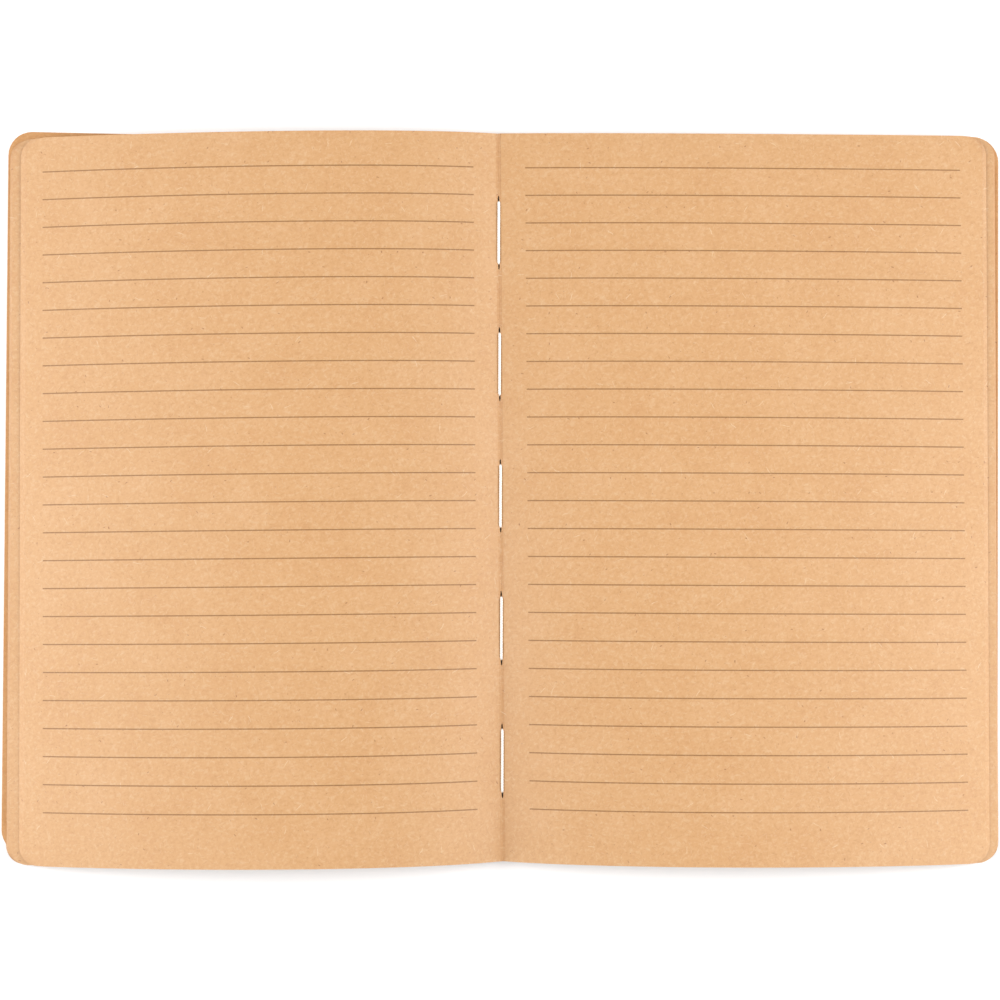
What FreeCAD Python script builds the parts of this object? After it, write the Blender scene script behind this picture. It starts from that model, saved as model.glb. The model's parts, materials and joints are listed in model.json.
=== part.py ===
"""Pocket notebook: kraft sheets folded once, nested in a card cover and sewn through the fold.

The notebook lies open at its middle sheet. X runs across the spread, Y up the page and Z up,
with the origin on the table, under the middle of the spine.
"""
import FreeCAD, Part
import os
import math
import Sketcher

V = FreeCAD.Vector
UP = V(0, 0, 1)
ALONG = V(0, 1, 0)

SIZES = {
    "page_tall": 140.0,          # height of cover and leaves
    "cover_half": 96.5,          # spine centre to the cover's fore-edge
    "corner_round": 3.8,         # rounded fore-edge corners
    "sheets": 12,                # folded sheets, two leaves each
    "paper": 0.12,               # thickness of one leaf
    "card": 0.35,                # thickness of the cover
    "nest": 0.16,                # one sheet to the next, in the fold
    "inner_half": 0.5,           # spine centre to the innermost fold line
    "card_fold_half": 2.56,      # spine centre to the cover's fold line
    "leaf_gap": 0.08,            # fold line to the leaf's own edge
    "card_gap": 0.2,             # fold line to the cover's own edge
    "spine_lift": 0.9,           # underside of the spine above the table
    "card_ramp": 12.0,           # run over which the cover comes down to the table
    "leaf_drop": 0.85,           # a leaf's fore-edge below its fold line
    "thread_thick": 0.55,        # diameter of the sewing thread
    "hole_wide": 0.62,           # needle hole
    "stitch_long": 12.7,         # hole to hole within one inside stitch
    "stitch_pitch": 25.4,        # one inside stitch to the next
    "stitches": 5,               # inside stitches
    "knot_half": 0.7,            # half the width of an end knot
    "left_bow": 7.1,             # rise of the top left leaf over its chord
    "left_bow_shape": 0.92,      # under 1, the crest lies nearer the fold
    "right_bow": 4.0,
    "right_bow_shape": 0.76,
}

doc = FreeCAD.newDocument("notebook")
sheet = doc.addObject("Spreadsheet::Sheet", "sizes")
for row, (alias, value) in enumerate(SIZES.items(), start=1):
    sheet.set(f"A{row}", alias)
    sheet.set(f"B{row}", str(value))
    sheet.setAlias(f"B{row}", alias)
doc.recompute()


def size(alias):
    """One driving dimension, read back from the sheet."""
    return float(sheet.get(alias))


# Places that follow from the driving dimensions.
PAPER = size("paper")
CARD = size("card")
SHEETS = int(size("sheets"))
CARD_FOLD_Z = size("spine_lift") + CARD / 2
AIR = size("nest") - PAPER
TRIM_LINE = size("cover_half") - size("card_fold_half") + CARD_FOLD_Z


def fold_line(number):
    """Distance from the spine's centre and height of sheet number's fold lines, 1 innermost."""
    across = size("inner_half") + (number - 1) * size("nest")
    height = size("spine_lift") + CARD + AIR + PAPER / 2 + (SHEETS - number) * size("nest")
    return across, height


def leaf_reach(number):
    """Fold line to fore-edge: the closed notebook is trimmed in one cut, so inner leaves are short."""
    return TRIM_LINE - fold_line(number)[1]


def plane(body, role):
    """The body's own origin plane with this role."""
    return next(f for f in body.Origin.OriginFeatures if f.Role == role)


def new_sketch(body, name, role):
    """An empty sketch on one of the body's origin planes."""
    sketch = body.newObject("Sketcher::SketchObject", name)
    sketch.AttachmentSupport = [(plane(body, role), "")]
    sketch.MapMode = "FlatFace"
    return sketch


def join_ends(sketch, count):
    """Joins the ends of lines 0 to count - 1 into a closed outline."""
    for line in range(count):
        sketch.addConstraint(Sketcher.Constraint("Coincident", line, 2, (line + 1) % count, 1))


def bind(sketch, constraint, name, expression):
    """Adds a dimension and binds it to the sheet."""
    index = sketch.addConstraint(constraint)
    sketch.renameConstraint(index, name)
    sketch.setExpression(f"Constraints.{name}", expression)


def draw_lines(sketch, points):
    """Straight lines from point to point and back to the first."""
    for start, end in zip(points, points[1:] + points[:1]):
        sketch.addGeometry(Part.LineSegment(V(*start, 0), V(*end, 0)))
    join_ends(sketch, len(points))


def centred_rectangle(sketch, wide, tall):
    """A rectangle about the sketch's origin, its sides given as expressions."""
    draw_lines(sketch, [(-30, -70), (30, -70), (30, 70), (-30, 70)])
    for kind, line in (("Horizontal", 0), ("Vertical", 1), ("Horizontal", 2), ("Vertical", 3)):
        sketch.addConstraint(Sketcher.Constraint(kind, line))
    sketch.addConstraint(Sketcher.Constraint("Symmetric", 0, 1, 2, 1, -1, 1))
    bind(sketch, Sketcher.Constraint("DistanceX", 0, 1, 0, 2, 60), "wide", wide)
    bind(sketch, Sketcher.Constraint("DistanceY", 1, 1, 1, 2, 140), "tall", tall)


def thick_pad(body, sketch, thickness):
    """A pad of the sketch, half to each side of its plane."""
    pad = body.newObject("PartDesign::Pad", sketch.Name + "_pad")
    pad.Profile = sketch
    pad.Midplane = True
    pad.setExpression("Length", thickness)
    doc.recompute()
    return pad


def round_fore_edge(body, pad):
    """Rounds the two corners at the far +X end of a padded sheet."""
    far = pad.Shape.BoundBox.XMax
    corners = []
    for index, edge in enumerate(pad.Shape.Edges, start=1):
        box = edge.BoundBox
        if box.XMin > far - 0.01 and box.YLength < 0.01:
            corners.append(f"Edge{index}")
    fillet = body.newObject("PartDesign::Fillet", body.Name + "_round")
    fillet.Base = (pad, corners)
    fillet.setExpression("Radius", "sizes.corner_round")
    return fillet


def facing(side):
    """Turn that sends a piece drawn towards +X to its own side: 1 right, -1 left."""
    return FreeCAD.Rotation(UP, 0 if side > 0 else 180)


def leaf_body(name, number, side):
    """A flat leaf of sheet number, falling gently from its fold line to its fore-edge."""
    reach = leaf_reach(number)
    wide = reach - size("leaf_gap")
    body = doc.addObject("PartDesign::Body", name)
    sketch = new_sketch(body, name + "_outline", "XY_Plane")
    trim = "sizes.cover_half - sizes.card_fold_half + sizes.spine_lift + sizes.card / 2"
    fold = "sizes.spine_lift + sizes.card + sizes.nest - sizes.paper / 2"
    fold += f" + (sizes.sheets - {number}) * sizes.nest"
    centred_rectangle(sketch, f"{trim} - ({fold}) - sizes.leaf_gap", "sizes.page_tall")
    pad = thick_pad(body, sketch, "sizes.paper")
    round_fore_edge(body, pad)
    across, height = fold_line(number)
    fall = math.degrees(math.asin(size("leaf_drop") / reach))
    turn = FreeCAD.Rotation(ALONG, side * fall).multiply(facing(side))
    middle = turn.multVec(V(size("leaf_gap") + wide / 2, 0, 0))
    body.Placement = FreeCAD.Placement(V(side * across, 0, height) + middle, turn)
    return body


def bowed_leaf(name, side, bow, shape):
    """The uppermost leaf of a side, which stands up in a bow between its fold and fore-edge."""
    reach = leaf_reach(1)
    near = size("leaf_gap")
    fall = size("leaf_drop") / reach
    steps = 12

    def surface(offset):
        """Spline across the leaf, offset from its middle surface."""
        points = []
        for step in range(steps + 1):
            share = step / steps
            along = near + share * (reach - near)
            rise = bow * math.sin(math.pi * share ** shape)
            points.append(V(along, 0, rise - fall * along + offset))
        curve = Part.BSplineCurve()
        curve.interpolate(points)
        return curve.toShape()

    under = surface(-PAPER / 2)
    over = surface(PAPER / 2)
    ends = [Part.LineSegment(under.valueAt(edge), over.valueAt(edge)).toShape()
            for edge in (under.FirstParameter, under.LastParameter)]
    tall = size("page_tall")
    section = Part.Face(Part.Wire(Part.__sortEdges__([under, over] + ends)))
    section.translate(V(0, -tall / 2, 0))
    solid = section.extrude(V(0, tall, 0))
    trim = Part.makeBox(reach, tall, 4 * bow, V(0, -tall / 2, -2 * bow))
    upright = [e for e in trim.Edges if e.BoundBox.ZLength > bow and e.BoundBox.XMin > near]
    leaf = doc.addObject("Part::Feature", name)
    leaf.Shape = solid.common(trim.makeFillet(size("corner_round"), upright))
    across, height = fold_line(1)
    leaf.Placement = FreeCAD.Placement(V(side * across, 0, height), facing(side))
    return leaf


def sewn_strip(name, wide, thickness, height):
    """A strip of the fold itself, with the needle holes for the sewing."""
    body = doc.addObject("PartDesign::Body", name)
    outline = new_sketch(body, name + "_outline", "XY_Plane")
    centred_rectangle(outline, wide, "sizes.page_tall")
    pad = thick_pad(body, outline, thickness)
    holes = new_sketch(body, name + "_holes", "XY_Plane")
    first = "(sizes.stitch_pitch * (sizes.stitches - 1) - sizes.stitch_long) / 2"
    far = "(sizes.stitch_pitch * (sizes.stitches - 1) + sizes.stitch_long) / 2"
    for index, place in enumerate((first, far)):
        holes.addGeometry(Part.Circle(V(0, 40 + 12 * index, 0), UP, 0.3))
        holes.addConstraint(Sketcher.Constraint("PointOnObject", index, 3, -2))
        bind(holes, Sketcher.Constraint("DistanceY", -1, 1, index, 3, 40 + 12 * index),
             f"place{index}", place)
        bind(holes, Sketcher.Constraint("Diameter", index, 0.6), f"hole{index}", "sizes.hole_wide")
    pocket = body.newObject("PartDesign::Pocket", name + "_pair")
    pocket.Profile = holes
    pocket.Type = "ThroughAll"
    pocket.Midplane = True
    doc.recompute()
    if pocket.Shape.Volume >= pad.Shape.Volume:
        raise ValueError(f"{name}: the needle holes cut nothing")
    row = body.newObject("PartDesign::LinearPattern", name + "_row")
    row.Originals = [pocket]
    row.Direction = (holes, ["V_Axis"])
    row.Reversed = True
    row.setExpression("Length", "sizes.stitch_pitch * (sizes.stitches - 1)")
    row.Occurrences = int(size("stitches"))
    body.Tip = row
    body.Placement = FreeCAD.Placement(V(0, 0, height), FreeCAD.Rotation())
    return body


def cover_body(name, side):
    """One board of the cover: flat on the table, rising over a short ramp to the spine."""
    body = doc.addObject("PartDesign::Body", name)
    sketch = new_sketch(body, name + "_section", "XZ_Plane")
    draw_lines(sketch, [(3, 1), (15, 0), (95, 0), (95, 0.4), (15, 0.4), (3, 1.4)])
    for kind, line in (("Horizontal", 1), ("Vertical", 2), ("Horizontal", 3), ("Vertical", 5)):
        sketch.addConstraint(Sketcher.Constraint(kind, line))
    sketch.addConstraint(Sketcher.Constraint("PointOnObject", 1, 1, -1))
    sketch.addConstraint(Sketcher.Constraint("Vertical", 1, 1, 4, 1))
    start = "sizes.card_fold_half + sizes.card_gap"
    dims = (
        (Sketcher.Constraint("DistanceX", -1, 1, 0, 1, 3), "near", start),
        (Sketcher.Constraint("DistanceY", -1, 1, 0, 1, 1), "lift", "sizes.spine_lift"),
        (Sketcher.Constraint("DistanceX", -1, 1, 1, 1, 15), "foot", f"{start} + sizes.card_ramp"),
        (Sketcher.Constraint("DistanceX", -1, 1, 2, 1, 95), "far", "sizes.cover_half"),
        (Sketcher.Constraint("DistanceY", 2, 1, 2, 2, 0.4), "board", "sizes.card"),
        (Sketcher.Constraint("DistanceY", 5, 2, 5, 1, 0.4), "end", "sizes.card"),
    )
    for constraint, label, expression in dims:
        bind(sketch, constraint, label, expression)
    pad = thick_pad(body, sketch, "sizes.page_tall")
    round_fore_edge(body, pad)
    body.Placement = FreeCAD.Placement(V(), facing(side))
    return body


def stitch_route():
    """Corner points of the running stitch, from the first knot to the last."""
    radius = size("thread_thick") / 2
    clear = 0.02
    inside = fold_line(1)[1] + PAPER / 2 + radius + clear
    outside = size("spine_lift") - radius - clear
    count = int(size("stitches"))
    start = -size("stitch_pitch") * (count - 1) / 2
    route = []
    for stitch in range(count):
        middle = start + stitch * size("stitch_pitch")
        low = middle - size("stitch_long") / 2
        high = middle + size("stitch_long") / 2
        route += [V(0, low, outside), V(0, low, inside), V(0, high, inside), V(0, high, outside)]
    return route


def rounded_path(route, radius):
    """Straight runs joined by tangent quarter turns."""
    edges = []
    last = route[0]
    for before, corner, after in zip(route, route[1:], route[2:]):
        arrive = (corner - before).normalize()
        leave = (after - corner).normalize()
        start = corner - arrive * radius
        end = corner + leave * radius
        centre = start + leave * radius
        middle = centre + (corner - centre).normalize() * radius
        edges.append(Part.makeLine(last, start))
        edges.append(Part.Arc(start, middle, end).toShape())
        last = end
    edges.append(Part.makeLine(last, route[-1]))
    return Part.Wire(edges)


def sewing_thread(name):
    """One running stitch through every sheet and the cover, with a knot at each end outside."""
    route = stitch_route()
    radius = size("thread_thick") / 2
    path = rounded_path(route, radius * 1.3)
    ring = Part.Wire(Part.Circle(route[0], UP, radius).toShape())
    thread = path.makePipeShell([ring], True, False)
    knots = []
    for end in (route[0], route[-1]):
        knot = Part.makeCylinder(size("knot_half"), 2 * radius, end - UP * radius)
        rims = [edge for edge in knot.Edges if edge.Closed and edge.BoundBox.ZLength < radius]
        knots.append(knot.makeFillet(radius * 0.6, rims))
    piece = doc.addObject("Part::Feature", name)
    piece.Shape = thread.fuse(knots)
    piece.Placement = FreeCAD.Placement()
    return piece


parts = []
for side, cover, leaf, bow, bow_shape in (
    (-1, "front_cover", "left_leaf", size("left_bow"), size("left_bow_shape")),
    (1, "back_cover", "right_leaf", size("right_bow"), size("right_bow_shape")),
):
    parts.append(cover_body(cover, side))
    parts.append(bowed_leaf(f"{leaf}_01", side, bow, bow_shape))
    for number in range(2, SHEETS + 1):
        parts.append(leaf_body(f"{leaf}_{number:02d}", number, side))

for number in range(1, SHEETS + 1):
    half = f"(sizes.inner_half + {number - 1} * sizes.nest - sizes.leaf_gap)"
    name = f"sheet_fold_{number:02d}"
    parts.append(sewn_strip(name, f"2 * {half}", "sizes.paper", fold_line(number)[1]))

spine_wide = "2 * (sizes.card_fold_half - sizes.card_gap)"
parts.append(sewn_strip("cover_spine", spine_wide, "sizes.card", CARD_FOLD_Z))
parts.append(sewing_thread("sewing_thread"))
doc.recompute()

for obj in doc.Objects:
    if "Invalid" in obj.State or "Error" in obj.State:
        raise ValueError(f"{obj.Name}: {obj.State}")
for part in parts:
    part.Label = part.Name
    if part.Shape.isNull() or not part.Shape.isValid() or len(part.Shape.Solids) != 1:
        raise ValueError(f"{part.Name}: bad shape, {len(part.Shape.Solids)} solids")

os.makedirs("parts", exist_ok=True)
for part in parts:
    part.Shape.exportStep(f"parts/{part.Label}.step")
    box = part.Shape.BoundBox
    print(f"{part.Label}: {part.Shape.Volume:.2f} mm3, x {box.XMin:.2f} {box.XMax:.2f}, "
          f"y {box.YMin:.2f} {box.YMax:.2f}, z {box.ZMin:.3f} {box.ZMax:.3f}")
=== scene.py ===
"""Pocket notebook of ruled kraft paper, open at its middle sheet: the looks around its fixed frame."""
import json
import logging
import math
from dataclasses import dataclass
from enum import Enum
from typing import Callable, Iterable

import bpy
import numpy as np
from mathutils import Matrix, Vector, noise


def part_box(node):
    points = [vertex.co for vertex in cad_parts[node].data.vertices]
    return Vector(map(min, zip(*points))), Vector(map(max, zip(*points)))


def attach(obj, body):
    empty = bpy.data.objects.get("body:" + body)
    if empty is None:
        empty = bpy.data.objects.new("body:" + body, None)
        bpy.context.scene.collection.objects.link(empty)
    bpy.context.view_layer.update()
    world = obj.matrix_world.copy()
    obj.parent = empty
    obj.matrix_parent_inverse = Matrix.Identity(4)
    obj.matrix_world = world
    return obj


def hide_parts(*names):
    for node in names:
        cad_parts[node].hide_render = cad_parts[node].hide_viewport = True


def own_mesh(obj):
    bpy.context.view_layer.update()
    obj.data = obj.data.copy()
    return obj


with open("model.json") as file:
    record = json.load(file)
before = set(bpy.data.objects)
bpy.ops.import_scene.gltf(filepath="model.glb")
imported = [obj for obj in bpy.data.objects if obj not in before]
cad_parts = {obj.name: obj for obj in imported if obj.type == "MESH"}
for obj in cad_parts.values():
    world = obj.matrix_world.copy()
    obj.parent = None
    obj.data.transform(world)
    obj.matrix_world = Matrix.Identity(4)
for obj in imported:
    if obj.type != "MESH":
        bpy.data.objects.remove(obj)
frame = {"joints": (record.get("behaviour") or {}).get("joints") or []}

MM = 0.001
LOG = logging.getLogger("notebook")
SHEETS = 12
HALF_TALL = 70.0 * MM
PAPER = 0.12 * MM


class Side(Enum):
    """Which half of the open spread a piece belongs to; the value is the sign of its X."""

    LEFT = -1
    RIGHT = 1

    @property
    def leaf(self) -> str:
        """Start of the names of this side's leaves."""
        return "left_leaf" if self is Side.LEFT else "right_leaf"

    @property
    def board(self) -> str:
        """Name of this side's cover board."""
        return "front_cover" if self is Side.LEFT else "back_cover"


# ---------------------------------------------------------------- materials


def linear(hex_colour: str) -> tuple[float, float, float, float]:
    """Turns an sRGB hex colour to the linear colour that a shader takes.

    Args:
        hex_colour: Six hex digits, with or without a leading hash.

    Returns:
        Linear red, green, blue and an alpha of 1.
    """
    digits = hex_colour.lstrip("#")
    channels = (int(digits[i:i + 2], 16) / 255 for i in (0, 2, 4))
    lin = [c / 12.92 if c <= 0.04045 else ((c + 0.055) / 1.055) ** 2.4 for c in channels]
    return (lin[0], lin[1], lin[2], 1.0)


@dataclass(frozen=True)
class FibreKind:
    """One kind of fibre or speck in the pulp.

    The share is that of the cells that hold one, the strength how much of its own colour
    shows, and the bend how far it wanders from a straight line.
    """

    cell_mm: float
    long_mm: float
    wide_mm: float
    share: float
    strength: float
    bend_mm: float = 0.25


class Shader:
    """A material's node tree, with the object's own coordinates in millimetres.

    The colour sockets of a Mix node are its inputs 6 and 7 and its output 2.
    """

    def __init__(self, name: str) -> None:
        """Starts an empty material of this name."""
        self.material = bpy.data.materials.new(name)
        self.material.use_nodes = True
        self.tree = self.material.node_tree
        self.tree.nodes.clear()
        place = self.add("TexCoord").outputs["Object"]
        self.millimetres = self.add("VectorMath", {0: place, "Scale": 1 / MM}, operation="SCALE")

    def add(self, kind: str, inputs: dict | None = None, **settings: object) -> bpy.types.Node:
        """Adds one node with its settings and links.

        Args:
            kind: The node's type, without its ShaderNode prefix.
            inputs: Socket name or number to its value, or to the socket that feeds it. A node
                stands for its own first output.
            **settings: Properties of the node itself.

        Returns:
            The new node.
        """
        node = self.tree.nodes.new(f"ShaderNode{kind}")
        for name, value in settings.items():
            setattr(node, name, value)
        for key, value in (inputs or {}).items():
            source = value.outputs[0] if isinstance(value, bpy.types.Node) else value
            if isinstance(source, bpy.types.NodeSocket):
                self.tree.links.new(source, node.inputs[key])
            else:
                node.inputs[key].default_value = source
        return node

    def fibres(self, kind: FibreKind) -> bpy.types.Node:
        """Single short fibres, each lying its own way.

        Every cell of a flat cell pattern holds one line through its centre, turned by the cell's
        own random angle, so the fibres are as many and as long as the pulp shows.

        Args:
            kind: Their size and spacing.

        Returns:
            1 on a fibre and 0 beside it.
        """
        wander = self.add("TexNoise", {"Vector": self.millimetres, "Scale": 1 / (4 * kind.bend_mm)})
        shift = self.add("VectorMath", {0: wander.outputs["Color"], 1: (0.5, 0.5, 0.5)},
                         operation="SUBTRACT")
        shift = self.add("VectorMath", {0: shift, "Scale": 2 * kind.bend_mm}, operation="SCALE")
        bent = self.add("VectorMath", {0: self.millimetres, 1: shift}, operation="ADD")
        cells = self.add("TexVoronoi", {"Vector": bent, "Scale": 1 / kind.cell_mm},
                         voronoi_dimensions="2D", feature="F1")
        away = self.add("VectorMath", {0: bent, 1: cells.outputs["Position"]}, operation="SUBTRACT")
        turn, chance, _ = self.add("SeparateColor", {0: cells.outputs["Color"]}).outputs
        angle = self.add("Math", {0: turn, 1: 2 * math.pi}, operation="MULTIPLY")
        lying = self.add("VectorRotate", {"Vector": away, "Angle": angle}, rotation_type="Z_AXIS")
        along, across, _ = self.add("SeparateXYZ", {0: lying}).outputs
        along = self.add("Math", {0: along}, operation="ABSOLUTE")
        across = self.add("Math", {0: across}, operation="ABSOLUTE")
        length = self.add("MapRange", {"Value": along, "From Min": kind.long_mm * 0.3,
                                       "From Max": kind.long_mm * 0.5, "To Min": 1.0, "To Max": 0.0},
                          interpolation_type="SMOOTHSTEP")
        width = self.add("MapRange", {"Value": across, "From Min": kind.wide_mm * 0.25,
                                      "From Max": kind.wide_mm * 0.75, "To Min": 1.0, "To Max": 0.0},
                         interpolation_type="SMOOTHSTEP")
        present = self.add("Math", {0: chance, 1: kind.share}, operation="LESS_THAN")
        whole = self.add("Math", {0: length, 1: width}, operation="MULTIPLY")
        return self.add("Math", {0: whole, 1: present}, operation="MULTIPLY")

    def finish(self, colour: object, roughness: object, bump: object, depth_mm: float,
               sheen: float = 0.0) -> bpy.types.Material:
        """Closes the tree with one surface.

        Args:
            colour: Base colour.
            roughness: Roughness value.
            bump: Height from 0 to 1, or None for a plain surface.
            depth_mm: What a height of 1 stands for.
            sheen: Strength of the soft fuzz that catches light at grazing angles.

        Returns:
            The finished material.
        """
        # 1.5 is the usual IOR of cellulose and of dry paint. The level lifts its reflection a little.
        inputs = {"Base Color": colour, "Roughness": roughness, "IOR": 1.5, "Metallic": 0.0,
                  "Sheen Weight": sheen, "Sheen Roughness": 0.5, "Specular IOR Level": 0.58}
        if bump is not None:
            raised = {"Height": bump, "Distance": depth_mm * MM, "Strength": 1.0}
            inputs["Normal"] = self.add("Bump", raised)
        self.add("OutputMaterial", {"Surface": self.add("BsdfPrincipled", inputs)})
        return self.material


@dataclass(frozen=True)
class Ruling:
    """Printed writing lines, measured on the page in millimetres.

    Offset ink on rough paper: thin, brown where the kraft shows through, a little broken.
    """

    first: float = 63.3
    pitch: float = 5.35
    lines: int = 24
    wide: float = 0.24
    near_fold: float = 4.97
    near_edge: float = 88.5
    aside: float = 0.2
    edge_aside: float = 0.62
    droop_left: float = 0.003
    droop_right: float = 0.0115
    ink: str = "#78501f"
    strength: float = 0.8
    gap_mm: float = 0.35

    def mask(self, shader: Shader) -> bpy.types.Node:
        """Draws the writing lines.

        Args:
            shader: The paper's node tree.

        Returns:
            How much ink lies at a point: 1 on a line, 0 off it.
        """
        x, y, _ = shader.add("SeparateXYZ", {0: shader.millimetres}).outputs
        aside = shader.add("Math", {0: x, 1: self.aside}, operation="SUBTRACT")
        across = shader.add("Math", {0: aside}, operation="ABSOLUTE")
        outward = shader.add("Math", {0: x, 1: self.edge_aside}, operation="SUBTRACT")
        outward = shader.add("Math", {0: outward}, operation="ABSOLUTE")
        # Each half of the sheet was printed a hair out of level.
        both = (self.droop_left + self.droop_right) / 2
        one = (self.droop_right - self.droop_left) / 2
        droop = shader.add("Math", {0: across, 1: both}, operation="MULTIPLY")
        unlike = shader.add("Math", {0: aside, 1: one}, operation="MULTIPLY")
        droop = shader.add("Math", {0: droop, 1: unlike}, operation="ADD")
        straight = shader.add("Math", {0: y, 1: droop}, operation="ADD")
        down = shader.add("Math", {0: self.first, 1: straight}, operation="SUBTRACT")
        step = shader.add("Math", {0: down, 1: self.pitch}, operation="DIVIDE")
        whole = shader.add("Math", {0: step}, operation="ROUND")
        off = shader.add("Math", {0: step, 1: whole}, operation="SUBTRACT")
        off = shader.add("Math", {0: off}, operation="ABSOLUTE")
        off = shader.add("Math", {0: off, 1: self.pitch}, operation="MULTIPLY")
        line = shader.add("MapRange", {"Value": off, "From Min": self.wide * 0.3,
                                       "From Max": self.wide * 0.7, "To Min": 1.0, "To Max": 0.0},
                          interpolation_type="SMOOTHSTEP")
        for place, limit, side in (
            (across, self.near_fold, "GREATER_THAN"),
            (outward, self.near_edge, "LESS_THAN"),
            (step, -0.5, "GREATER_THAN"),
            (step, self.lines - 0.5, "LESS_THAN"),
        ):
            inside = shader.add("Math", {0: place, 1: limit}, operation=side)
            line = shader.add("Math", {0: line, 1: inside}, operation="MULTIPLY")
        gaps = shader.add("TexNoise", {"Vector": shader.millimetres, "Scale": 1 / self.gap_mm,
                                       "Detail": 2.0, "Roughness": 0.55})
        broken = shader.add("MapRange", {"Value": gaps, "From Min": 0.25, "From Max": 0.5,
                                         "To Min": 0.7, "To Max": 1.0},
                            interpolation_type="SMOOTHSTEP")
        return shader.add("Math", {0: line, 1: broken}, operation="MULTIPLY")


@dataclass(frozen=True)
class Kraft:
    """Unbleached kraft pulp, machine made and uncoated.

    To the eye: a warm tan with soft cloudy patches where the pulp is thicker, fine crossed
    fibres, a few bark specks and stray pale and dark fibres. It has only a faint, broad sheen.
    """

    name: str
    pulp: str = "#c09363"
    thin: str = "#c3976a"
    thick: str = "#bd8e5e"
    pale_fibre: str = "#d5bea0"
    dark_fibre: str = "#9c6c3c"
    bark: str = "#7a4522"
    cloud_mm: float = 9.0
    floc_mm: float = 0.9
    grain_mm: float = 0.4
    roughness: float = 0.58
    ruling: Ruling | None = None

    def build(self) -> bpy.types.Material:
        """Makes the material.

        Returns:
            The material.
        """
        shader = Shader(self.name)
        clouds = shader.add("TexNoise", {"Vector": shader.millimetres, "Scale": 1 / self.cloud_mm,
                                         "Detail": 2.0, "Roughness": 0.55})
        flocs = shader.add("TexNoise", {"Vector": shader.millimetres, "Scale": 1 / self.floc_mm,
                                        "Detail": 4.0, "Roughness": 0.6})
        cloudy = shader.add("Math", {0: clouds, 1: 0.4}, operation="MULTIPLY")
        flocky = shader.add("Math", {0: flocs, 1: 0.6}, operation="MULTIPLY")
        tone = shader.add("Math", {0: cloudy, 1: flocky}, operation="ADD")
        grain = self.crossed_grain(shader)
        layers = []
        for source, low, high, start, end, tint in (
            (tone, 0.48, 0.66, 0.0, 1.0, self.thin),
            (tone, 0.34, 0.52, 1.0, 0.0, self.thick),
            (grain, 0.6, 1.0, 0.0, 0.16, self.pale_fibre),
            (grain, 0.0, 0.4, 0.16, 0.0, self.dark_fibre),
        ):
            share = shader.add("MapRange", {"Value": source, "From Min": low, "From Max": high,
                                            "To Min": start, "To Max": end},
                               interpolation_type="SMOOTHSTEP")
            layers.append((share, tint))
        # Fibres and specks are drawn a little coarser than real pulp, so that they show.
        for tint, kind in (
            (self.pale_fibre, FibreKind(cell_mm=4.2, long_mm=1.6, wide_mm=0.09, share=0.14, strength=0.6)),
            (self.pale_fibre, FibreKind(cell_mm=1.3, long_mm=1.0, wide_mm=0.10, share=0.5, strength=0.22)),
            (self.dark_fibre, FibreKind(cell_mm=1.1, long_mm=0.9, wide_mm=0.10, share=0.5, strength=0.24)),
            (self.bark, FibreKind(cell_mm=2.9, long_mm=0.5, wide_mm=0.16, share=0.10, strength=0.6)),
            (self.bark, FibreKind(cell_mm=1.7, long_mm=0.3, wide_mm=0.14, share=0.10, strength=0.4)),
        ):
            share = shader.add("Math", {0: shader.fibres(kind), 1: kind.strength}, operation="MULTIPLY")
            layers.append((share, tint))
        if self.ruling:
            share = shader.add("Math", {0: self.ruling.mask(shader), 1: self.ruling.strength},
                               operation="MULTIPLY")
            layers.append((share, self.ruling.ink))
        colour = linear(self.pulp)
        for share, tint in layers:
            colour = shader.add("Mix", {0: share, 6: colour, 7: linear(tint)}, data_type="RGBA").outputs[2]
        ridges = shader.add("Math", {0: grain, 1: 0.6}, operation="MULTIPLY")
        lumps = shader.add("Math", {0: flocs, 1: 0.4}, operation="MULTIPLY")
        height = shader.add("Math", {0: ridges, 1: lumps}, operation="ADD")
        rough = shader.add("MapRange", {"Value": flocs, "From Min": 0.3, "From Max": 0.7,
                                        "To Min": self.roughness - 0.04, "To Max": self.roughness + 0.04},
                           interpolation_type="SMOOTHSTEP")
        return shader.finish(colour, rough, height, 0.012, sheen=0.05)

    def crossed_grain(self, shader: Shader) -> bpy.types.Node:
        """Fine fibre grain: stretched noise laid at several angles and averaged.

        Args:
            shader: The paper's node tree.

        Returns:
            The grain, from 0 to 1.
        """
        total = None
        angles = (0.3, 1.25, 2.2, 2.85)
        for angle in angles:
            turned = shader.add("VectorRotate", {"Vector": shader.millimetres, "Angle": angle},
                                rotation_type="Z_AXIS")
            drawn = shader.add("VectorMath", {0: turned, 1: (0.28, 1.0, 1.0)}, operation="MULTIPLY")
            layer = shader.add("TexNoise", {"Vector": drawn, "Scale": 1 / self.grain_mm,
                                            "Detail": 2.0, "Roughness": 0.5})
            total = layer if total is None else shader.add("Math", {0: total, 1: layer}, operation="ADD")
        mean = shader.add("Math", {0: total, 1: float(len(angles))}, operation="DIVIDE")
        return shader.add("MapRange", {"Value": mean, "From Min": 0.38, "From Max": 0.62},
                          interpolation_type="SMOOTHSTEP")


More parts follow.
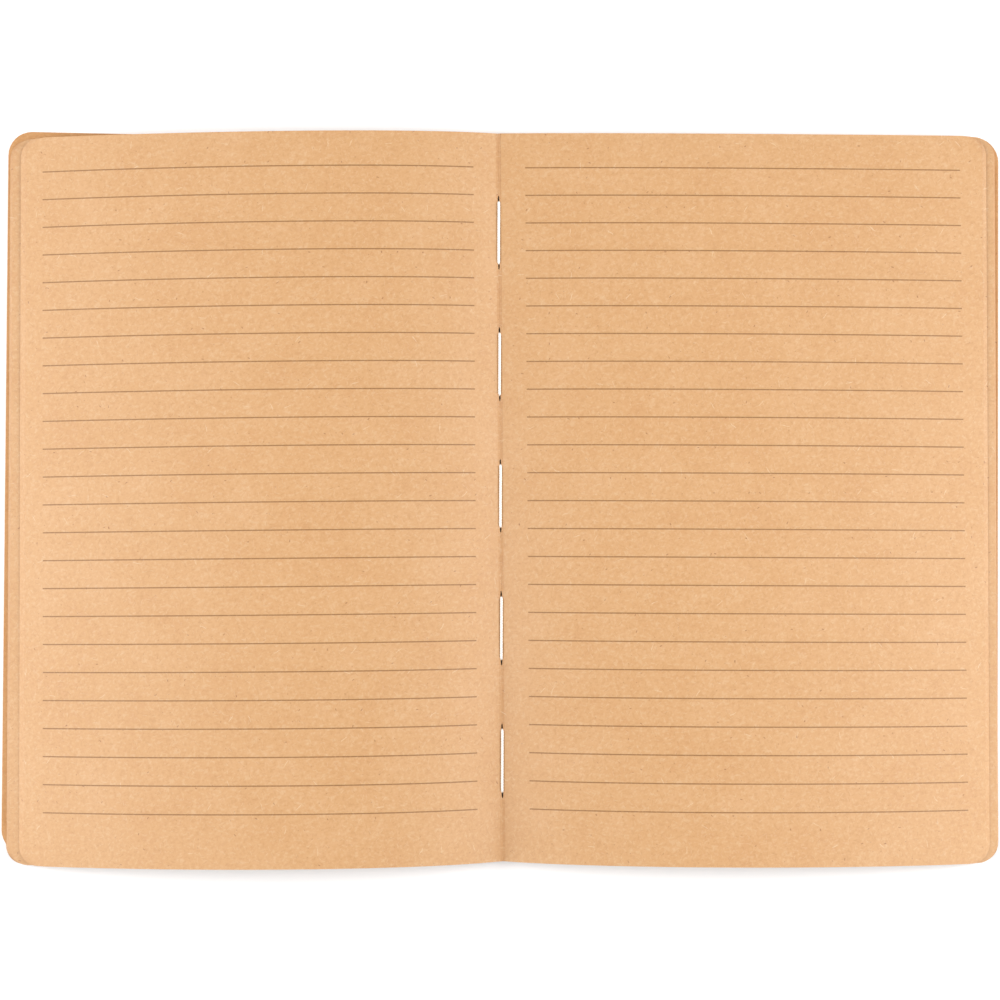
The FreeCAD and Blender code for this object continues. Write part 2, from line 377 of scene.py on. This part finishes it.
@dataclass(frozen=True)
class LinenThread:
    """Bleached bookbinding thread, twisted from three plies.

    To the eye: bright white and matt, with shade in the grooves between the plies and fine fuzz.
    """

    name: str = "bleached_linen_thread"
    fibre: str = "#fbfaf6"
    groove: str = "#d9d2c6"
    grain_mm: float = 0.12

    def build(self) -> bpy.types.Material:
        """Makes the material.

        Returns:
            The material.
        """
        shader = Shader(self.name)
        grain = shader.add("TexNoise", {"Vector": shader.millimetres, "Scale": 1 / self.grain_mm,
                                        "Detail": 3.0, "Roughness": 0.55})
        shade = shader.add("MapRange", {"Value": grain, "From Min": 0.35, "From Max": 0.65,
                                        "To Min": 0.5, "To Max": 0.0},
                           interpolation_type="SMOOTHSTEP")
        colour = shader.add("Mix", {0: shade, 6: linear(self.fibre), 7: linear(self.groove)},
                            data_type="RGBA").outputs[2]
        return shader.finish(colour, 0.8, grain, 0.02, sheen=0.3)


@dataclass(frozen=True)
class MattBoard:
    """A plain painted studio board: even, pale and without gloss."""

    name: str = "painted_studio_board"
    paint: str = "#f6f6f6"
    mottle: str = "#f3f3f3"
    patch_mm: float = 90.0

    def build(self) -> bpy.types.Material:
        """Makes the material.

        Returns:
            The material.
        """
        shader = Shader(self.name)
        mottle = shader.add("TexNoise", {"Vector": shader.millimetres, "Scale": 1 / self.patch_mm,
                                         "Detail": 1.0, "Roughness": 0.55})
        share = shader.add("MapRange", {"Value": mottle, "From Min": 0.3, "From Max": 0.7,
                                        "To Min": 0.0, "To Max": 0.3},
                           interpolation_type="SMOOTHSTEP")
        colour = shader.add("Mix", {0: share, 6: linear(self.paint), 7: linear(self.mottle)},
                            data_type="RGBA").outputs[2]
        return shader.finish(colour, 0.9, None, 0.0)


# ---------------------------------------------------------------- mesh helpers


def new_object(name: str, vertices: Iterable, faces: Iterable) -> bpy.types.Object:
    """Makes a smooth-shaded mesh object in the row frame.

    Args:
        name: The piece's name.
        vertices: Points in metres.
        faces: Vertex numbers of each face.

    Returns:
        The new object, linked to the scene.
    """
    mesh = bpy.data.meshes.new(name)
    mesh.from_pydata([tuple(v) for v in vertices], [], [tuple(f) for f in faces])
    mesh.validate()
    mesh.update()
    mesh.polygons.foreach_set("use_smooth", [True] * len(mesh.polygons))
    obj = bpy.data.objects.new(name, mesh)
    bpy.context.scene.collection.objects.link(obj)
    return obj


def grid_faces(columns: int, rows: int, skip: Callable[[int, int], bool] | None = None) -> list:
    """Quads of a grid of points, numbered up each column in turn.

    Args:
        columns: Number of columns.
        rows: Number of points in a column.
        skip: Whether the quad at a column and row is left out.

    Returns:
        The quads.
    """
    quads = []
    for i in range(columns - 1):
        for j in range(rows - 1):
            if skip is None or not skip(i, j):
                a = i * rows + j
                quads.append((a, a + rows, a + rows + 1, a + 1))
    return quads


def thicken(obj: bpy.types.Object, thickness: float, rounding: float = 0.0) -> None:
    """Gives an open sheet its thickness, half to each side, and softens its rim.

    Args:
        obj: The sheet.
        thickness: In metres.
        rounding: Width of the softened rim in metres, 0 for a clean cut.
    """
    solid = obj.modifiers.new("thickness", "SOLIDIFY")
    solid.thickness = thickness
    solid.offset = 0.0
    solid.use_even_offset = True
    if rounding:
        soft = obj.modifiers.new("soft_rim", "BEVEL")
        soft.width = rounding
        soft.segments = 2
        soft.limit_method = "ANGLE"
        soft.angle_limit = math.radians(50)
    graph = bpy.context.evaluated_depsgraph_get()
    solid_mesh = bpy.data.meshes.new_from_object(obj.evaluated_get(graph))
    flat = obj.data
    obj.modifiers.clear()
    obj.data = solid_mesh
    bpy.data.meshes.remove(flat)
    solid_mesh.name = obj.name
    solid_mesh.set_sharp_from_angle(angle=math.radians(35))


def stations(reach: float, corner: float, count: int, arc: int = 9) -> np.ndarray:
    """Distances from the hinge where a leaf's columns stand.

    They crowd towards the hinge and follow the rounded corners in even angles.

    Args:
        reach: Distance from the hinge to the fore-edge.
        corner: Radius of the corners.
        count: Number of columns before the corners.
        arc: Number of columns within the corners.

    Returns:
        The distances, from 0 to reach.
    """
    spread = 1 - np.cos(np.linspace(0, math.pi / 2, count, endpoint=False))
    straight = (reach - corner) * (0.5 * spread + 0.5 * np.linspace(0, 1, count, endpoint=False))
    rounded = reach - corner + corner * np.sin(np.linspace(0, math.pi / 2, arc))
    return np.concatenate([straight, rounded])


def half_height(out: float, reach: float, corner: float) -> float:
    """Half the height of a round-cornered leaf at this distance from its hinge."""
    into = max(out - (reach - corner), 0.0)
    return HALF_TALL - corner + math.sqrt(max(corner ** 2 - into ** 2, 0.0))


def tube(path: np.ndarray, radius: float, sides: int = 8) -> tuple[list, list]:
    """A closed round tube along a path.

    Args:
        path: Points in metres, one row each.
        radius: Radius of the tube.
        sides: Sides of its section.

    Returns:
        Vertices and faces.
    """
    points = [Vector(p) for p in path]
    vertices, faces = [], []
    normal = Vector((1.0, 0.0, 0.0))
    last = len(points) - 1
    for index, point in enumerate(points):
        ahead = (points[min(index + 1, last)] - points[max(index - 1, 0)]).normalized()
        normal = (normal - ahead * normal.dot(ahead)).normalized()
        side = ahead.cross(normal)
        for k in range(sides):
            turn = 2 * math.pi * k / sides
            vertices.append(point + radius * (math.cos(turn) * normal + math.sin(turn) * side))
    for index in range(last):
        for k in range(sides):
            a, b = index * sides + k, index * sides + (k + 1) % sides
            faces.append((a, b, b + sides, a + sides))
    faces.append(tuple(range(sides))[::-1])
    faces.append(tuple(last * sides + k for k in range(sides)))
    return vertices, faces


def join(vertices: list, faces: list, part: tuple[list, list]) -> None:
    """Adds a part to a piece.

    Args:
        vertices: The piece's vertices.
        faces: The piece's faces.
        part: The part's own vertices and faces.
    """
    start = len(vertices)
    vertices += part[0]
    faces += [tuple(start + number for number in face) for face in part[1]]


def dress(obj: bpy.types.Object, material: bpy.types.Material) -> None:
    """Gives a piece its material.

    Args:
        obj: The piece.
        material: Its material.
    """
    obj.data.materials.clear()
    obj.data.materials.append(material)


def hinge_of(child: str) -> Vector:
    """A point on the hinge line of the body that this joint swings."""
    joint = next(j for j in frame["joints"] if j["child"] == child)
    return Vector(joint["pos_m"])


def joint_of(child: str) -> str:
    """Name of the joint that swings this body."""
    return next(j["name"] for j in frame["joints"] if j["child"] == child)


# ---------------------------------------------------------------- paper


@dataclass
class Leaf:
    """One leaf of paper, bowed between its fold and its fore-edge.

    The section is one cubic curve from the fold line up over the crest and down to the
    fore-edge. Sizes are in metres, rises are over the fold line.
    """

    side: Side
    number: int
    fore_edge: float
    near_rise: float
    far_rise: float
    twist: float
    skew: float
    lean: float
    curl_from: float
    drop: float
    columns: int
    rows: int
    curl: float = 0.3
    corner: float = 3.8 * MM
    flat_drop: float = 0.85 * MM
    near_out: float = 0.2
    far_out: float = 0.67
    ripple_high: float = 0.22 * MM
    ripple_waves: tuple[float, float] = (22.0, 17.0)
    held_within: float = 20.0 * MM
    kept_when_closed: float = 0.02

    def __post_init__(self) -> None:
        """Finds the leaf's node and the fold line that it swings on."""
        self.node = f"{self.side.leaf}_{self.number:02d}"
        self.hinge = hinge_of(self.node)
        self.reach = self.fore_edge - abs(self.hinge.x)
        self.shares = np.linspace(0.0, 1.0, 600)
        self.outs = np.array([self.section(share, 0.0)[0] for share in self.shares])

    def section(self, share: float, bow: float) -> tuple[float, float]:
        """Distance from the fold line and rise over it.

        Args:
            share: 0 at the fold line, 1 at the fore-edge.
            bow: Scale of the rise.

        Returns:
            Distance out and rise.
        """
        rest = 1 - share
        near, far, end = 3 * rest ** 2 * share, 3 * rest * share ** 2, share ** 3
        out = near * self.near_out * self.reach + far * self.far_out * self.reach + end * self.reach
        rise = bow * (near * self.near_rise + far * self.far_rise) - end * self.drop
        return out, rise

    def ripple(self, x: float, y: float) -> float:
        """Height of the slight waves of handled paper, the same for every leaf of the stack."""
        along, up = self.ripple_waves
        return self.ripple_high * noise.noise(Vector((x * along, y * up, 0.3 * self.side.value)))

    def point(self, out: float, up: float) -> Vector:
        """A point of the leaf's middle surface.

        Args:
            out: Distance from the fold line.
            up: From -1 at the foot to 1 at the head.

        Returns:
            The point in the row frame.
        """
        share = float(np.interp(out, self.outs, self.shares))
        rise = self.section(share, 1 - self.twist * up)[1]
        y = up * half_height(out, self.reach, self.corner)
        free = min(1.0, out / self.held_within)
        rise += free * self.ripple(out, y) * (1 - 0.07 * self.number)
        rise -= self.curl * max(abs(self.hinge.x) + out - self.curl_from, 0.0)
        across = abs(self.hinge.x) + out * (1 - self.lean * up)
        return Vector((self.side.value * across, y - self.skew * out, self.hinge.z + rise))

    def build(self) -> bpy.types.Object:
        """Makes the leaf's sheet.

        Returns:
            The sheet.
        """
        outs = stations(self.reach, self.corner, self.columns)
        vertices = []
        for out in outs:
            for j in range(self.rows):
                vertices.append(self.point(float(out), 2 * j / (self.rows - 1) - 1))
        faces = grid_faces(len(outs), self.rows)
        if self.side is Side.LEFT:
            faces = [face[::-1] for face in faces]
        sheet = new_object(f"paper_{self.node}", vertices, faces)
        thicken(sheet, PAPER)
        return sheet

    def attach(self, sheet: bpy.types.Object) -> None:
        """Lets the leaf ride its body.

        Args:
            sheet: The leaf's sheet.
        """
        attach(sheet, self.node)
        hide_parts(self.node)
        closing = joint_of(self.node)
        if closing == "page_turn":
            # The leaf that turns alone takes the joint of the leaf beneath it.
            closing = joint_of(f"{self.side.leaf}_02")
        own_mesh(sheet)


@dataclass
class PageBlock:
    """All the leaves of one half of the spread.

    The upper leaves spring up together in one bundle; the lower ones lie nearly flat, and
    their fore-edges stand out past the bundle's, as nested sheets creep.
    """

    side: Side
    near_rise: float
    far_rise: float
    twist: float
    skew: float
    top_edge: float
    top_step: float
    bundle: int
    low_edge: float
    low_step: float
    lift: float
    top_lean: float
    low_lean: float
    pile: float = 0.13 * MM
    slack: float = 0.035
    low_height: float = 0.42 * MM
    low_spring: tuple[float, float] = (0.1, 0.5)

    def leaf(self, number: int) -> Leaf:
        """Works out one leaf's shape.

        Args:
            number: The leaf's number, 1 on top.

        Returns:
            The leaf.
        """
        if number <= self.bundle:
            spring = 1 - self.slack * (number - 1)
            edge = self.top_edge + self.top_step * (number - 1)
            edge_height = self.lift - self.pile * (number - 1)
            lean, curl_from = self.top_lean, self.top_edge
        else:
            below = (SHEETS - number) / (SHEETS - self.bundle)
            spring = self.low_spring[0] + self.low_spring[1] * below
            edge = self.low_edge + self.low_step * (number - self.bundle - 1)
            edge_height = self.low_height + self.pile * (SHEETS - number)
            lean, curl_from = self.low_lean, self.low_edge
        columns, rows = (73, 49) if number == 1 else (33, 25)
        hinge = hinge_of(f"{self.side.leaf}_{number:02d}")
        return Leaf(
            self.side,
            number,
            fore_edge=edge,
            near_rise=spring * self.near_rise,
            far_rise=spring * self.far_rise,
            twist=self.twist,
            skew=self.skew,
            lean=lean,
            curl_from=curl_from,
            drop=hinge.z - edge_height,
            columns=columns,
            rows=rows,
        )

    def build(self, paper: bpy.types.Material) -> int:
        """Makes and dresses every leaf of this half.

        Args:
            paper: The ruled paper.

        Returns:
            How many leaves were made.
        """
        for number in range(1, SHEETS + 1):
            leaf = self.leaf(number)
            sheet = leaf.build()
            dress(sheet, paper)
            leaf.attach(sheet)
        return SHEETS


@dataclass
class SewnStrip:
    """The stretch of a sheet, or of the cover, that lies in the fold and takes the needle holes.

    It dips between its two fold lines, because the thread pulls it down. Each needle hole is a
    real slit whose lips are drawn apart a little by the thread.
    """

    node: str
    half_wide: float
    height: float
    dip: float
    thickness: float
    holes: list[float]
    slit_long: float = 1.5 * MM
    slit_wide: float = 0.46 * MM
    slit_least: float = 0.06 * MM
    columns: int = 9

    def rows(self) -> list[float]:
        """Places of the grid's rows.

        Returns:
            Their Y, close together at each needle hole.
        """
        places = set(np.linspace(-HALF_TALL, HALF_TALL, 57))
        for hole in self.holes:
            places = {y for y in places if abs(y - hole) > self.slit_long}
            places |= {hole + self.slit_long * step / 8 for step in range(-8, 9)}
        return sorted(places)

    def in_slit(self, y: float) -> float:
        """How near to a needle hole's end y is: 0 at the middle of a hole, 1 and more outside it."""
        return min(abs(y - hole) for hole in self.holes) / (self.slit_long / 2)

    def surface(self, across: float, y: float) -> Vector:
        """A point of the strip's middle surface; across runs from -1 to 1."""
        # The small constant rounds the bottom of the crease.
        sag = self.dip * (1 - math.hypot(across, 0.08))
        return Vector((across * self.half_wide, y, self.height - sag))

    def build(self) -> bpy.types.Object:
        """Makes the strip with its needle holes.

        Returns:
            The strip.
        """
        rows = self.rows()
        middle = self.columns // 2
        vertices = []
        for i in range(self.columns):
            across = 2 * i / (self.columns - 1) - 1
            for y in rows:
                point = self.surface(across, y)
                if abs(i - middle) == 1 and self.in_slit(y) < 1:
                    lip = self.slit_wide / 2 * math.sqrt(1 - self.in_slit(y) ** 2)
                    point.x = (i - middle) * max(lip, self.slit_least / 2)
                vertices.append(point)
        centres = [(low + high) / 2 for low, high in zip(rows, rows[1:])]

        def is_slit(i: int, j: int) -> bool:
            """Whether this quad lies in a needle hole."""
            return i in (middle - 1, middle) and self.in_slit(centres[j]) < 1

        strip = new_object(f"fold_{self.node}", vertices, grid_faces(self.columns, len(rows), is_slit))
        thicken(strip, self.thickness)
        return strip


@dataclass
class Board:
    """One board of the folded card cover.

    It leaves the spine in a soft score, comes down to the table over a short ramp and lies
    flat to its fore-edge. It was cut a hair out of square with the sheets.
    """

    side: Side
    fore_edge: float
    skew: float
    lean: float
    thickness: float
    corner: float = 4.8 * MM
    ramp: float = 12.0 * MM
    softened: float = 0.07 * MM
    columns: int = 57
    rows: int = 41

    def build(self) -> bpy.types.Object:
        """Makes the board.

        Returns:
            The board.
        """
        hinge = hinge_of(self.side.board)
        reach = self.fore_edge - abs(hinge.x)
        outs = stations(reach, self.corner, self.columns)
        vertices = []
        for out in outs:
            share = out / reach
            half = half_height(out, reach, self.corner)
            down = min(out / self.ramp, 1.0)
            ease = 0.5 + 0.5 * math.cos(math.pi * down)
            z = self.thickness / 2 + (hinge.z - self.thickness / 2) * ease
            for j in range(self.rows):
                up = 2 * j / (self.rows - 1) - 1
                leaning = 1 - self.lean * up * share
                x = self.side.value * (abs(hinge.x) + out * leaning)
                vertices.append((x, up * half - self.skew * x * share, z))
        faces = grid_faces(len(outs), self.rows)
        if self.side is Side.LEFT:
            faces = [face[::-1] for face in faces]
        board = new_object(f"card_{self.side.board}", vertices, faces)
        thicken(board, self.thickness, self.softened)
        return board


@dataclass
class Cover:
    """The folded card cover: two boards and the spine between them."""

    thickness: float = 0.35 * MM
    dip: float = 0.06 * MM

    def boards(self) -> tuple[Board, Board]:
        """Both boards."""
        return (
            Board(Side.LEFT, fore_edge=95.85 * MM, skew=0.0164, lean=0.0079, thickness=self.thickness),
            Board(Side.RIGHT, fore_edge=96.2 * MM, skew=0.0095, lean=-0.0092, thickness=self.thickness),
        )

    def build(self, card: bpy.types.Material, holes: list[float]) -> None:
        """Makes and dresses both boards and the spine.

        Args:
            card: The card's material.
            holes: Places of the needle holes up the spine.
        """
        for board in self.boards():
            piece = board.build()
            dress(piece, card)
            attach(piece, board.side.board)
            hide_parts(board.side.board)
            LOG.info("%s: board with rounded corners", piece.name)
        hinge = hinge_of(Side.RIGHT.board)
        spine = SewnStrip("cover_spine", abs(hinge.x), hinge.z, self.dip, self.thickness, holes).build()
        dress(spine, card)
        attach(spine, "spine")
        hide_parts("cover_spine")
        LOG.info("%s: scored spine with %d needle holes", spine.name, len(holes))


@dataclass
class Sewing:
    """The running stitch: where its needle holes are, and the twisted thread through them."""

    stitches: int = 5
    pitch: float = 25.4 * MM
    long: float = 12.7 * MM
    thick: float = 0.55 * MM
    plies: int = 3
    twist: float = 1.5 * MM
    step: float = 0.1 * MM
    bend: float = 0.5 * MM
    inset: float = 0.5 * MM
    slant: float = 0.06 * MM
    knot_wide: float = 0.22 * MM
    knot_high: float = 0.1 * MM
    knot_away: float = 0.35 * MM
    tail_step: float = 0.12 * MM
    tail_wave: float = 0.25 * MM
    tail_lies: float = 0.2 * MM

    def holes(self) -> list[float]:
        """Works out where the needle holes are.

        Returns:
            Their Y, from the foot of the page up.
        """
        start = -self.pitch * (self.stitches - 1) / 2
        middles = [start + self.pitch * k for k in range(self.stitches)]
        return [middle + end * self.long / 2 for middle in middles for end in (-1, 1)]

    def route(self, inside: float, outside: float) -> list[Vector]:
        """Corners of the thread's way, down and up through the holes.

        Args:
            inside: Height of the thread's centre where it lies in the open fold.
            outside: Height of its centre under the spine.

        Returns:
            The corners, from one knot to the other.
        """
        corners = []
        holes = self.holes()
        for low, high in zip(holes[::2], holes[1::2]):
            corners.append(Vector((0, low + self.inset / 2, outside)))
            corners.append(Vector((-self.slant, low + self.inset, inside)))
            corners.append(Vector((self.slant, high - self.inset, inside)))
            corners.append(Vector((0, high - self.inset / 2, outside)))
        return corners

    def smooth(self, corners: list[Vector]) -> np.ndarray:
        """The way with its corners rounded, in even steps.

        Args:
            corners: Corners of the way.

        Returns:
            Points along the way.
        """
        points = [corners[0]]
        for before, corner, after in zip(corners, corners[1:], corners[2:]):
            arrive = (corner - before).normalized()
            leave = (after - corner).normalized()
            start, end = corner - arrive * self.bend, corner + leave * self.bend
            for k in range(9):
                t = k / 8
                points.append(start * (1 - t) ** 2 + corner * 2 * t * (1 - t) + end * t ** 2)
        points.append(corners[-1])
        way = np.array([tuple(p) for p in points])
        run = np.concatenate([[0], np.cumsum(np.linalg.norm(np.diff(way, axis=0), axis=1))])
        even = np.arange(0, run[-1], self.step)
        return np.stack([np.interp(even, run, way[:, axis]) for axis in range(3)], axis=1)

    def knot(self, at: Vector, away: float) -> np.ndarray:
        """An overhand knot pulled small and flat, with a short tail.

        Args:
            at: Where the thread comes out of the spine.
            away: Direction of the tail along Y, 1 or -1.

        Returns:
            Points along the knot and its tail.
        """
        points = []
        for k in range(70):
            # A trefoil: the shortest closed way that is knotted, run a little past its start.
            turn = 2 * math.pi * k / 64
            size = self.knot_wide * (2 + math.cos(3 * turn))
            x = size * math.cos(2 * turn)
            y = size * math.sin(2 * turn)
            z = self.knot_high * math.sin(3 * turn)
            points.append((at.x + x, at.y + away * self.knot_away + y, at.z + z))
        last = points[-1]
        for k in range(1, 30):
            out = k * self.tail_step
            x = last[0] + self.tail_wave * math.sin(out / MM * 0.9)
            z = last[2] * (1 - k / 60) + self.tail_lies * k / 60
            points.append((x, last[1] + away * out, z))
        return np.array(points)

    def plied(self, way: np.ndarray) -> tuple[list, list]:
        """Three plies wound about the way.

        Args:
            way: Even points along the thread.

        Returns:
            Vertices and faces of all the plies.
        """
        ahead = np.gradient(way, axis=0)
        ahead /= np.linalg.norm(ahead, axis=1)[:, None]
        side = np.array([1.0, 0.0, 0.0])
        first = side - ahead * (ahead @ side)[:, None]
        first /= np.linalg.norm(first, axis=1)[:, None]
        second = np.cross(ahead, first)
        run = np.arange(len(way)) * self.step
        ply_radius = self.thick * 0.27
        wind_radius = self.thick / 2 - ply_radius
        vertices, faces = [], []
        for ply in range(self.plies):
            turn = 2 * math.pi * (run / self.twist + ply / self.plies)
            centre = way + wind_radius * (np.cos(turn)[:, None] * first + np.sin(turn)[:, None] * second)
            join(vertices, faces, tube(centre, ply_radius))
        return vertices, faces

    def build(self, thread: bpy.types.Material, inside: float, outside: float) -> bpy.types.Object:
        """Makes the whole thread with both end knots.

        Args:
            thread: The thread's material.
            inside: Height of its centre in the open fold.
            outside: Height of its centre under the spine.

        Returns:
            The thread.
        """
        corners = self.route(inside, outside)
        vertices, faces = self.plied(self.smooth(corners))
        for at, away in ((corners[0], -1.0), (corners[-1], 1.0)):
            join(vertices, faces, tube(self.knot(at, away), self.thick * 0.36))
        piece = new_object("linen_sewing_thread", vertices, faces)
        dress(piece, thread)
        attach(piece, "spine")
        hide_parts("sewing_thread")
        return piece


@dataclass
class Folds:
    """The folds of all the sheets; the thread pulls the innermost ones down the most."""

    deepest: float = 0.24 * MM
    shallowest: float = 0.04 * MM
    slit_wide: float = 0.36 * MM

    def strip(self, number: int, holes: list[float]) -> SewnStrip:
        """Works out one sheet's fold.

        Args:
            number: The sheet's number, 1 innermost.
            holes: Places of the needle holes.

        Returns:
            The fold.
        """
        hinge = hinge_of(f"{Side.LEFT.leaf}_{number:02d}")
        share = (number - 1) / (SHEETS - 1)
        dip = self.deepest + (self.shallowest - self.deepest) * share
        return SewnStrip(f"sheet_fold_{number:02d}", abs(hinge.x), hinge.z, dip, PAPER, holes,
                         slit_wide=self.slit_wide)

    def build(self, paper: bpy.types.Material, holes: list[float]) -> float:
        """Makes and dresses every fold.

        Args:
            paper: The paper of the folds, painted darker than the pages as shade in the gutter.
            holes: Places of the needle holes.

        Returns:
            Height of the innermost fold's upper face at its lowest.
        """
        strips = [self.strip(number, holes) for number in range(1, SHEETS + 1)]
        for strip in strips:
            piece = strip.build()
            dress(piece, paper)
            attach(piece, "spine")
            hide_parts(strip.node)
        innermost = strips[0]
        return innermost.height - innermost.dip + innermost.thickness / 2


# ---------------------------------------------------------------- studio


@dataclass(frozen=True)
class SoftBox:
    """A white soft box aimed at the notebook; sizes in metres, power in watts."""

    name: str
    place: tuple[float, float, float]
    size: tuple[float, float]
    power: float

    def build(self) -> None:
        """Hangs the soft box."""
        light = bpy.data.lights.new(self.name, "AREA")
        light.shape = "RECTANGLE"
        light.size, light.size_y = self.size
        light.energy = self.power
        lamp = bpy.data.objects.new(self.name, light)
        lamp.location = self.place
        lamp.rotation_euler = (-Vector(self.place)).to_track_quat("-Z", "Y").to_euler()
        bpy.context.scene.collection.objects.link(lamp)


@dataclass
class Studio:
    """A white table, a soft box to each side, a faint one behind, and the camera overhead."""

    boxes: tuple[SoftBox, ...] = (
        SoftBox("left_box", (-0.55, 0.0, 0.38), (0.4, 0.8), 5.9),
        SoftBox("right_box", (0.55, 0.0, 0.38), (0.4, 0.8), 6.2),
        SoftBox("back_box", (0.0, 0.6, 0.4), (0.9, 0.4), 0.6),
    )
    room_light: float = 0.25
    table_half: float = 1.6
    table_steps: int = 9
    table_below: float = 0.05 * MM
    distance: float = 457.0 * MM
    lens: float = 85.0
    pitch_deg: float = 1.5
    roll_deg: float = 0.38
    aim: tuple[float, float] = (-0.0001, -0.0007)

    def table(self) -> None:
        """Lays the table top, a hair under the cover so that the two faces don't coincide."""
        line = np.linspace(-self.table_half, self.table_half, self.table_steps)
        top = new_object("studio_table", [(x, y, -self.table_below) for x in line for y in line],
                         grid_faces(self.table_steps, self.table_steps))
        top.data.materials.append(MattBoard().build())

    def lights(self) -> None:
        """Places the soft boxes and the room's own even light."""
        for box in self.boxes:
            box.build()
        world = bpy.data.worlds.new("even_room_light")
        world.use_nodes = True
        shade = world.node_tree.nodes["Background"]
        shade.inputs["Color"].default_value = linear("#ffffff")
        shade.inputs["Strength"].default_value = self.room_light
        bpy.context.scene.world = world

    def camera(self) -> None:
        """Hangs the camera over the middle of the spread."""
        data = bpy.data.cameras.new("overhead_camera")
        data.lens = self.lens
        data.sensor_width = 36.0
        data.clip_start = 0.01
        camera = bpy.data.objects.new("overhead_camera", data)
        pitch = math.radians(self.pitch_deg)
        back = Vector((0.0, -math.sin(pitch), math.cos(pitch))) * self.distance
        aim = Vector((self.aim[0], self.aim[1], 0.0))
        turn = Matrix.Rotation(pitch, 4, "X") @ Matrix.Rotation(math.radians(-self.roll_deg), 4, "Z")
        camera.matrix_world = Matrix.Translation(aim + back) @ turn
        bpy.context.scene.collection.objects.link(camera)
        bpy.context.scene.camera = camera

    def build(self) -> None:
        """Sets up the whole studio."""
        # The plain transform shows the paper's colours as they are set here.
        bpy.context.scene.view_settings.view_transform = "Standard"
        self.table()
        self.lights()
        self.camera()


def main() -> None:
    """Builds the notebook around its frame, piece by piece."""
    logging.basicConfig(level=logging.INFO, format="%(name)s: %(message)s")
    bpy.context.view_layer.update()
    Studio().build()
    LOG.info("studio: table, lights and camera")
    page = Kraft("kraft_paper_ruled", ruling=Ruling()).build()
    # The folds' paper is the pages' kraft painted darker and warmer: painted shade for the gutter, where
    # the two facing slopes shade and light each other.
    fold = Kraft("kraft_paper_painted_fold_shade", pulp="#ba8a57", thin="#bd8e5c", thick="#b78552").build()
    card = Kraft("kraft_card", pulp="#bb8853", thin="#bf8d5a", thick="#b6814b",
                 pale_fibre="#cdac80", roughness=0.7).build()
    thread = LinenThread().build()
    sewing = Sewing()
    holes = sewing.holes()
    cover = Cover()
    cover.build(card, holes)
    gutter = Folds().build(fold, holes)
    LOG.info("folds: %d sheets sewn through %d holes", SHEETS, len(holes))
    blocks = (
        PageBlock(Side.LEFT, near_rise=10.0 * MM, far_rise=8.5 * MM, twist=0.3, skew=0.003,
                  top_edge=91.4 * MM, top_step=0.3 * MM, bundle=5, low_edge=94.5 * MM, low_step=0.13 * MM,
                  lift=2.75 * MM, top_lean=0.0028, low_lean=0.0048),
        PageBlock(Side.RIGHT, near_rise=5.5 * MM, far_rise=5.8 * MM, twist=0.8, skew=0.0115,
                  top_edge=93.0 * MM, top_step=0.3 * MM, bundle=4, low_edge=95.4 * MM, low_step=0.07 * MM,
                  lift=2.5 * MM, top_lean=-0.0048, low_lean=-0.0048),
    )
    for block in blocks:
        LOG.info("%s: %d leaves", block.side.leaf, block.build(page))
    spine_low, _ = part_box("cover_spine")
    outside = spine_low.z - cover.dip - sewing.thick / 2
    sewing.build(thread, gutter + sewing.thick / 2, outside)
    LOG.info("thread: %d inside stitches and two knots", sewing.stitches)


if __name__ == "__main__":
    main()
